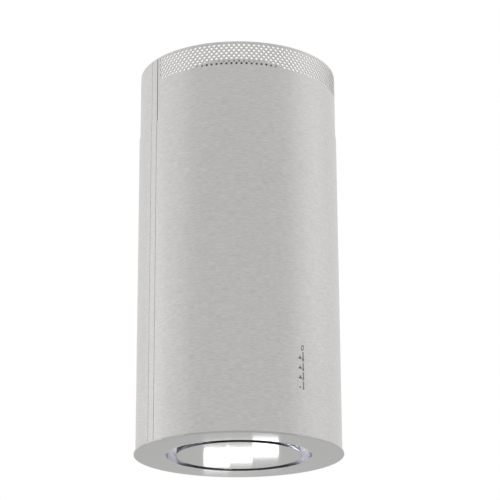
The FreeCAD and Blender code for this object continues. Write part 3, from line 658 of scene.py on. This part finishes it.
def wrap(piece, radius, width):
    """Wraps a flat sheet, its middle at X = 0, round the front of a cylinder."""
    modify(piece, "SIMPLE_DEFORM", deform_method="BEND", deform_axis="Z",
           angle=width / radius)
    edit(piece)
    bpy.ops.transform.translate(value=(0, -radius, 0))
    bpy.ops.object.mode_set(mode="OBJECT")
    return piece


def make_vent_shell():
    """Flat cell of two staggered holes, repeated, drawn out to the sheet and wrapped."""
    own = sizes()
    radius = UPPER_RADIUS
    pitch, drop = own.vent_pitch, 2 * own.vent_row_pitch
    columns = 1 + int((math.pi * radius - 2 * own.vent_side) / pitch)
    rows = 4
    half = math.pi * radius / 2 - own.upper_gap / 2
    left = -(columns - 1) * pitch / 2 - pitch / 4
    top = UPPER_HIGH.z - own.vent_top + own.vent_row_pitch / 2
    deselect()
    bpy.ops.mesh.primitive_plane_add(size=1, location=(left + pitch / 2, 0, top - drop / 2),
                                     rotation=(math.pi / 2, 0, 0))
    bpy.context.object.scale = (pitch, drop, 1)
    piece = named(placed(), "upper_tube_front")
    edit(piece)
    bpy.ops.mesh.delete(type="ONLY_FACE")
    circle_outline(own.vent_hole / 2, left + pitch / 4, top - drop / 4)
    circle_outline(own.vent_hole / 2, left + 3 * pitch / 4, top - 3 * drop / 4)
    bpy.ops.mesh.select_all(action="SELECT")
    bpy.ops.mesh.fill(use_beauty=True)
    bpy.ops.object.mode_set(mode="OBJECT")
    for count, step in ((columns, (pitch, 0, 0)), (rows, (0, 0, -drop))):
        modify(piece, "ARRAY", count=count, use_relative_offset=False,
               use_constant_offset=True, constant_offset_displace=step,
               use_merge_vertices=True, merge_threshold=0.01 * MM)
    slack = 0.02 * MM
    right, foot = left + columns * pitch, top - rows * drop
    edit(piece)
    # the last column has no staggered holes
    for row in range(rows):
        centre = Vector((right - pitch / 4, 0, top - (row + 0.75) * drop))
        pick(piece, lambda place: (place - centre).length < own.vent_hole / 2 + slack)
        bpy.ops.mesh.edge_face_add()
    pick(piece, lambda place: place.z > top - slack)
    stretch(z=UPPER_HIGH.z - top)
    pick(piece, lambda place: place.z < foot + slack)
    stretch(z=UPPER_LOW.z - foot, times=8)
    pick(piece, lambda place: place.x < left + slack)
    stretch(x=-half - left, times=3)
    pick(piece, lambda place: place.x > right - slack)
    stretch(x=half - right, times=3)
    merged()
    wrap(piece, radius, 2 * half)
    outwards(piece)
    modify(piece, "SOLIDIFY", thickness=own.sheet, offset=-1.0, use_even_offset=True)
    smooth(piece)
    return finished(piece, "brushed_tube", "ceiling_frame", "brushed_tube",
                    "upper_front_shell")


# ---- underside ----------------------------------------------------------------
class HOOD_OT_bottom_ring(bpy.types.Operator):
    """Flat ring under the tube, with a raised lip that the tube stands in"""

    bl_idname = "hood.bottom_ring"
    bl_label = "Bottom ring"

    def execute(self, context):
        own = sizes()
        low, face = UNDERSIDE, UNDERSIDE + 1.5 * MM
        top, soft, fillet = UNDERSIDE + own.ring_lip, 0.35 * MM, 0.8 * MM
        lip = TUBE_RADIUS + 0.3 * MM
        profile = [at(own.opening_radius + soft, low)]
        profile += corner(RING_RADIUS - fillet, low + fillet, fillet, -90, 0)
        profile += corner(RING_RADIUS - soft, top - soft, soft, 0, 90, 3)
        profile += corner(lip + soft, top - soft, soft, 90, 180, 3)
        profile += [at(lip, face), at(own.opening_radius, face)]
        profile += corner(own.opening_radius + soft, low + soft, soft, 180, 270, 3)[:-1]
        piece = smooth(turned("bottom_ring_turned", profile))
        finished(piece, "underside_satin_painted_shade", "hood_body", "satin_steel", "bottom_ring")
        return {"FINISHED"}


class HOOD_OT_collector(bpy.types.Operator):
    """Polished trough that leads the air over the panel to the filter"""

    bl_idname = "hood.collector"
    bl_label = "Collector"

    def execute(self, context):
        low = COLLECTOR_LOW.z
        outer, thick = COLLECTOR_HIGH.x, 0.8 * MM
        inner = outer - thick
        straight, flat, seat = 8.0 * MM, 105.0 * MM, 99.0 * MM
        bend, top = low + straight, COLLECTOR_HIGH.z
        lip = 6.0 * MM
        soft = 0.2 * MM
        profile = [at(inner, low + soft), at(inner + soft, low), at(outer - soft, low),
                   at(outer, low + soft)]
        profile += corner(flat, bend, outer - flat, 0, 90, 14)
        profile += [at(seat + thick, bend + outer - flat), at(seat + thick, top),
                    at(seat - lip, top), at(seat - lip, top - thick),
                    at(seat, top - thick)]
        profile += corner(seat + soft, bend + inner - flat + soft, soft, 180, 270, 3)
        profile += corner(flat, bend, inner - flat, 90, 0, 14)
        piece = smooth(turned("collector_turned", profile))
        finished(piece, "polished_steel", "hood_body", "polished_steel", "collector")
        return {"FINISHED"}


class HOOD_OT_panel(bpy.types.Operator):
    """Round perimeter-suction panel: a pan with a rolled edge and hinge notches"""

    bl_idname = "hood.panel"
    bl_label = "Suction panel"

    def execute(self, context):
        low, high = PANEL_LOW.z, PANEL_HIGH.z
        outer, thick, fillet, soft = PANEL_RADIUS, 1.2 * MM, 0.8 * MM, 0.25 * MM
        inner = outer - thick
        profile = [at(0.0, low)]
        profile += corner(outer - fillet, low + fillet, fillet, -90, 0)
        profile += corner(outer - soft, high - soft, soft, 0, 90, 3)
        profile += corner(inner + soft, high - soft, soft, 90, 180, 3)
        profile += [at(inner, low + thick), at(0.0, low + thick)]
        piece = turned("panel_pan", profile, closed=False)
        cut_hinge_notches(piece, low + 15.0 * MM)
        smooth(piece)
        finished(piece, "panel_satin_painted_shade", "suction_panel", "satin_steel", "panel_skin")
        make_liner()
        return {"FINISHED"}


def cut_hinge_notches(piece, z):
    """Room in the panel's rim for the two fixed hinge ears."""
    for side in (-1, 1):
        place = (side * HINGE_NOTCH_PLACE.x, HINGE_NOTCH_PLACE.y, z)
        cut_block(piece, place, HINGE_NOTCH_SIZE)


def cut_block(piece, centre, size):
    """Cuts a block out of a closed piece."""
    deselect()
    bpy.ops.mesh.primitive_cube_add(size=1, location=centre)
    bpy.context.object.scale = size
    tool = placed()
    modify(piece, "BOOLEAN", operation="DIFFERENCE", solver="EXACT", object=tool)
    deselect()
    tool.select_set(True)
    bpy.ops.object.delete()


def make_liner():
    """Back cover of the panel, with a pressed stiffening ring and a stepped rim."""
    low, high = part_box("panel_liner")
    outer, soft = high.x, 0.2 * MM
    dip = 0.7 * MM
    profile = [at(0.0, high.z)]
    for radius in (62.0 * MM, 92.0 * MM):
        profile += [at(radius, high.z), at(radius + 2 * MM, high.z - dip),
                    at(radius + 8 * MM, high.z - dip), at(radius + 10 * MM, high.z)]
    profile += corner(outer - soft, high.z - soft, soft, 90, 0, 3)
    profile += corner(outer - soft, low.z + soft, soft, 0, -90, 3)
    profile += [at(0.0, low.z)]
    piece = turned("panel_back_cover", profile, closed=False)
    cut_hinge_notches(piece, low.z)
    smooth(piece)
    finished(piece, "galvanised", "suction_panel", "galvanised", "panel_liner")


class HOOD_OT_grease_filter(bpy.types.Operator):
    """Expanded aluminium mesh of the grease filter, in two crossed faces"""

    bl_idname = "hood.grease_filter"
    bl_label = "Grease filter"

    def execute(self, context):
        low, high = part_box("filter_mesh")
        faces = [filter_face("filter_lower_face", high.x, low.z + 0.5 * MM),
                 filter_face("filter_upper_face", high.x, high.z - 0.5 * MM)]
        for piece in faces:
            finished(piece, "filter_aluminium", "hood_body", "filter_aluminium",
                     "filter_mesh")
        return {"FINISHED"}


def filter_face(name, radius, z):
    """Diamond net: a grid of squares set on its corner, each one a hole with a rim."""
    cells, squash, wire = 64, 0.62, 0.5 * MM
    width = 3.12 * radius        # squashed and set on its corner, it covers the circle
    deselect()
    bpy.ops.mesh.primitive_grid_add(x_subdivisions=cells, y_subdivisions=cells, size=1,
                                    location=(0, 0, z), rotation=(0, 0, math.pi / 4))
    bpy.context.object.scale = (width, width, 1)
    piece = named(placed(), name)
    edit(piece)
    bpy.ops.transform.resize(value=(1.0, squash, 1.0), center_override=(0, 0, z))
    bpy.ops.mesh.select_mode(type="FACE")
    bpy.ops.mesh.select_all(action="SELECT")
    bpy.ops.mesh.inset(thickness=wire, use_individual=True)
    bpy.ops.mesh.delete(type="FACE")
    pick(piece, lambda place: math.hypot(place.x, place.y) > radius)
    bpy.ops.mesh.delete(type="VERT")
    bpy.ops.object.mode_set(mode="OBJECT")
    modify(piece, "SOLIDIFY", thickness=0.7 * MM, offset=0.0)
    return piece


# ---- inside the tube -----------------------------------------------------------
class HOOD_OT_duct(bpy.types.Operator):
    """Corrugated aluminium hose from the outlet to the ceiling collar"""

    bl_idname = "hood.duct"
    bl_label = "Flexible duct"

    def execute(self, context):
        low, high = DUCT_LOW.z, DUCT_HIGH.z
        outer, inner = DUCT_HIGH.x - 0.05 * MM, DUCT_HIGH.x - 1.15 * MM
        ribs = 58
        rise = (high - low) / ribs
        profile = []
        for rib in range(ribs):
            foot = low + rib * rise
            profile += [at(inner, foot), at(inner, foot + 0.2 * rise),
                        at(outer, foot + 0.45 * rise), at(outer, foot + 0.75 * rise)]
        profile.append(at(inner, high))
        piece = turned("duct_hose", profile, steps=96, closed=False)
        outwards(piece)
        modify(piece, "SOLIDIFY", thickness=0.15 * MM, offset=-1.0)
        smooth(piece, 60.0)
        piece.data.materials.append(finish("duct_foil"))
        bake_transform(piece)
        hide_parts("flexible_duct")
        return {"FINISHED"}


# ---- control marks --------------------------------------------------------------
def flat_mark(x, z, width, height, sides=12, turn=0.0):
    """A filled outline in the XZ plane, added to the marks being edited."""
    bpy.ops.mesh.primitive_circle_add(vertices=sides, radius=0.5, fill_type="NGON",
                                      location=(x, 0, z), rotation=(math.pi / 2, 0, 0))
    if sides == 4:
        bpy.ops.transform.rotate(value=math.pi / 4, orient_axis="Y",
                                 center_override=(x, 0, z))
        width, height = width * math.sqrt(2), height * math.sqrt(2)
    bpy.ops.transform.resize(value=(width, 1, height), center_override=(x, 0, z))
    if turn:
        bpy.ops.transform.rotate(value=math.radians(turn), orient_axis="Y",
                                 center_override=(x, 0, z))


def fan_mark(x, z, size):
    """Three blades round a hub, with a short tick towards the level bar."""
    for blade in range(3):
        turn = math.radians(90 + 120 * blade)
        reach = 0.27 * size
        flat_mark(x + reach * math.cos(turn), z + reach * math.sin(turn),
                  0.30 * size, 0.50 * size, 12, 90 - math.degrees(turn) + 25)
    flat_mark(x, z, 0.2 * size, 0.2 * size, 10)
    flat_mark(x + 0.72 * size, z - 0.3 * size, 0.4 * size, 0.12 * size, 4)


def light_mark(x, z, size):
    """A slanted oval lamp, drawn as a thin outline."""
    slant = math.radians(-18)
    for part in range(14):
        turn = 2 * math.pi * part / 14
        across, up = 0.34 * size * math.cos(turn), 0.62 * size * math.sin(turn)
        along = math.atan2(0.62 * math.cos(turn), -0.34 * math.sin(turn)) + slant
        flat_mark(x + across * math.cos(slant) - up * math.sin(slant),
                  z + across * math.sin(slant) + up * math.cos(slant),
                  0.34 * size, 0.13 * size, 4, -math.degrees(along))


class HOOD_OT_control_marks(bpy.types.Operator):
    """Printed touch controls: a light, three fan levels and their level bars"""

    bl_idname = "hood.control_marks"
    bl_label = "Control marks"

    def execute(self, context):
        size = sizes().mark_height
        deselect()
        start = UNDERSIDE + 0.0904
        bpy.ops.mesh.primitive_circle_add(vertices=3, radius=0.5 * size, fill_type="NGON",
                                          location=(-4.8 * MM, 0, start),
                                          rotation=(math.pi / 2, 0, 0))
        piece = named(placed(), "control_marks")
        edit(piece)
        bpy.ops.transform.resize(value=(0.62, 1, 0.8), center_override=(-4.8 * MM, 0, start))
        for height in (0.1083, 0.1265, 0.1445):
            fan_mark(-4.2 * MM, UNDERSIDE + height, 1.12 * size)
        light_mark(1.4 * MM, UNDERSIDE + 0.1632, size)
        for low, high in ((0.0864, 0.1015), (0.1036, 0.1187), (0.1209, 0.1355),
                          (0.1381, 0.1558)):
            ticks = round((high - low) / (1.5 * MM))
            for tick in range(ticks):
                z = UNDERSIDE + low + (tick + 0.5) * (high - low) / ticks
                wide = (3.8 if tick < ticks / 3 else 3.0) * MM
                flat_mark(2.6 * MM, z, wide, 0.95 * MM, 4)
        bpy.ops.object.mode_set(mode="OBJECT")
        context.view_layer.update()
        wrap(piece, TUBE_RADIUS + 0.05 * MM, piece.dimensions.x)
        outwards(piece)
        modify(piece, "SOLIDIFY", thickness=0.05 * MM, offset=-1.0)
        smooth(piece)
        finished(piece, "print_ink", "hood_body", "case_plastic")
        return {"FINISHED"}


# ---- finishes of the hidden frame and machinery -----------------------------------
NODE_FINISHES = {
    "galvanised": "galvanised",
    "zinc_fasteners": "bright_zinc",
    "filter_aluminium": "filter_aluminium",
    "duct_foil": "duct_foil",
    "case_plastic": "case_plastic",
    "motor_metal": "motor_metal",
    "rubber": "mount_rubber",
    "foam": "open_foam",
    "magnet": "magnet_plate",
    "lamp_housing": "lamp_housing",
    "lamp_lens": "lamp_lens",
    "circuit_board": "circuit_board",
    "capacitor_can": "capacitor_can",
    "brushed_tube": "brushed_tube",
    "satin_steel": "underside_satin_painted_shade",
    "polished_steel": "polished_steel",
}


class HOOD_OT_frame_finishes(bpy.types.Operator):
    """Finishes for the ceiling frame, blower, duct parts and electrics"""

    bl_idname = "hood.frame_finishes"
    bl_label = "Frame and machinery"

    def execute(self, context):
        for name, node in NODES.items():
            for place in node.material_slots:
                own = place.material.name.split(".")[0]
                place.link = "OBJECT"
                # The ceiling plate gets the near-white finish instead of zinc, to lighten the
                # shade seen through the vent holes: painted light.
                place.material = finish("plate_painted_light" if name == "ceiling_plate"
                                        else NODE_FINISHES[own])
        return {"FINISHED"}


# ---- stage ---------------------------------------------------------------------------
FLOOR = UNDERSIDE - 4.0


def white_surround():
    """Plain level for matt surfaces, white where it is seen or mirrored."""
    world = bpy.data.worlds.new("studio")
    bpy.context.scene.world = world
    world.use_nodes = True
    tree = world.node_tree
    tree.nodes.clear()
    plain = add_node(tree, "ShaderNodeBackground", None,
                     {"Color": (1.0, 1.0, 1.0, 1.0), "Strength": 0.8})
    white = add_node(tree, "ShaderNodeBackground", None,
                     {"Color": (1.0, 1.0, 1.0, 1.0), "Strength": 1.0})
    seen = add_node(tree, "ShaderNodeLightPath", None, None, "Is Camera Ray")
    mirrored = add_node(tree, "ShaderNodeLightPath", None, None, "Is Glossy Ray")
    through = add_node(tree, "ShaderNodeLightPath", None, None, "Is Transmission Ray")
    which = seen.math("MAXIMUM", mirrored).math("MAXIMUM", through)
    mix = add_node(tree, "ShaderNodeMixShader", None, {0: which, 1: plain, 2: white})
    add_node(tree, "ShaderNodeOutputWorld", None, {"Surface": mix})


def studio_floor():
    deselect()
    bpy.ops.mesh.primitive_plane_add(size=400, location=(0, 0, FLOOR))
    floor = named(placed(), "studio_floor")
    material = bpy.data.materials.new("studio_floor")
    material.use_nodes = True
    shader = material.node_tree.nodes["Principled BSDF"]
    shader.inputs["Base Color"].default_value = (*colours().floor, 1.0)
    shader.inputs["Roughness"].default_value = 0.9
    shader.inputs["Specular IOR Level"].default_value = 0.1
    floor.data.materials.append(material)


def round_the_hood(azimuth, distance, height):
    """A place round the hood; azimuth 0 is in front and 90 is at +X."""
    turn = math.radians(azimuth - 90)
    return Vector((distance * math.cos(turn), distance * math.sin(turn), height))


def facing(place, target):
    return (Vector(target) - place).to_track_quat("-Z", "Y").to_euler()


def soft_light(name, place, target, width, height, level, spread=180.0):
    """A soft box whose face has the given level, white being 1."""
    light = bpy.data.lights.new(name, "AREA")
    light.shape = "RECTANGLE"
    light.size, light.size_y = width, height
    light.energy = level * math.pi * width * height
    light.spread = math.radians(spread)
    box = bpy.data.objects.new(name, light)
    bpy.context.collection.objects.link(box)
    box.location = place
    box.rotation_euler = facing(place, target)
    box.visible_camera = False
    return box


def grey_card(name, place, target, width, height, level):
    """A card that only mirrors see; it shades no part of the hood."""
    deselect()
    bpy.ops.mesh.primitive_grid_add(x_subdivisions=2, y_subdivisions=2, size=1)
    card = named(bpy.context.object, name)
    card.scale = (width, height, 1)
    card.location = place
    card.rotation_euler = facing(place, target)
    placed()
    material = bpy.data.materials.new(name)
    material.use_nodes = True
    tree = material.node_tree
    tree.nodes.clear()
    glow = add_node(tree, "ShaderNodeEmission", None,
                    {"Color": (level, level, level, 1.0), "Strength": 1.0})
    add_node(tree, "ShaderNodeOutputMaterial", None, {"Surface": glow})
    card.data.materials.append(material)
    card.visible_camera = card.visible_diffuse = card.visible_shadow = False
    card.visible_transmission = card.visible_volume_scatter = False
    return card


class HOOD_OT_stage(bpy.types.Operator):
    """Pale floor, white surround, soft lights and the camera"""

    bl_idname = "hood.stage"
    bl_label = "Studio stage"

    def execute(self, context):
        white_surround()
        studio_floor()
        middle = Vector((0, 0, UNDERSIDE / 2))
        soft_light("key_light", round_the_hood(60, 3.0, 1.0), middle, 1.8, 2.2, 0.12)
        grey_card("front_card", round_the_hood(-34.5, 2.4, 0.3), Vector((0, 0, 0.3)),
                  9.2, 4.4, 0.80)
        soft_light("side_light", round_the_hood(-140, 3.0, -0.2), middle, 1.6, 2.4, 0.22)
        for number, (azimuth, distance, height, wide, tall) in enumerate(BLOBS):
            soft_light(f"round_lamp_{number}", round_the_hood(azimuth, distance, height),
                       (0, 0, UNDERSIDE), wide, tall, 3.0)
        camera_data = bpy.data.cameras.new("camera")
        camera_data.sensor_width = 36.0
        camera_data.lens = 138.2
        camera = bpy.data.objects.new("camera", camera_data)
        context.collection.objects.link(camera)
        camera.matrix_world = (
            Matrix.Translation(round_the_hood(-36.5, 3.4637, UNDERSIDE - 0.7505))
            @ Matrix.Rotation(math.radians(-36.87), 4, "Z")
            @ Matrix.Rotation(math.radians(108.35), 4, "X")
            @ Matrix.Rotation(math.radians(-0.31), 4, "Z"))
        context.scene.camera = camera
        context.scene.view_settings.view_transform = "Standard"
        return {"FINISHED"}


# mirror places of the three lamps: azimuth, distance, height, width and height of the face
BLOBS = (
    (144.96, 3.01, UNDERSIDE - 0.648, 0.087, 0.060),
    (143.46, 2.99, UNDERSIDE - 0.652, 0.088, 0.046),
    (141.72, 2.93, UNDERSIDE - 0.6635, 0.086, 0.053),
)


# ---- panel in the sidebar -------------------------------------------------------------
STEPS = ("lower_tube", "upper_tube", "bottom_ring", "collector", "panel", "grease_filter",
         "duct", "control_marks", "frame_finishes", "stage")


class HOOD_PT_steps(bpy.types.Panel):
    """Sizes, colours and the pieces that they make"""

    bl_idname = "HOOD_PT_steps"
    bl_label = "Island hood"
    bl_space_type = "VIEW_3D"
    bl_region_type = "UI"
    bl_category = "Hood"

    def draw(self, context):
        for group in (context.scene.hood_sizes, context.scene.hood_colours):
            for key in group.bl_rna.properties.keys():
                if key not in ("rna_type", "name"):
                    self.layout.prop(group, key)
        for step in STEPS:
            self.layout.operator(f"hood.{step}")


CLASSES = (HoodSizes, HoodColours, HOOD_OT_lower_tube, HOOD_OT_upper_tube,
           HOOD_OT_bottom_ring, HOOD_OT_collector, HOOD_OT_panel, HOOD_OT_grease_filter,
           HOOD_OT_duct, HOOD_OT_control_marks, HOOD_OT_frame_finishes, HOOD_OT_stage,
           HOOD_PT_steps)


def register():
    for each in CLASSES:
        bpy.utils.register_class(each)
    bpy.types.Scene.hood_sizes = bpy.props.PointerProperty(type=HoodSizes)
    bpy.types.Scene.hood_colours = bpy.props.PointerProperty(type=HoodColours)


def unregister():
    del bpy.types.Scene.hood_sizes
    del bpy.types.Scene.hood_colours
    for each in reversed(CLASSES):
        bpy.utils.unregister_class(each)


def main():
    register()
    for step in STEPS:
        getattr(bpy.ops.hood, step)()


if __name__ == "__main__":
    main()
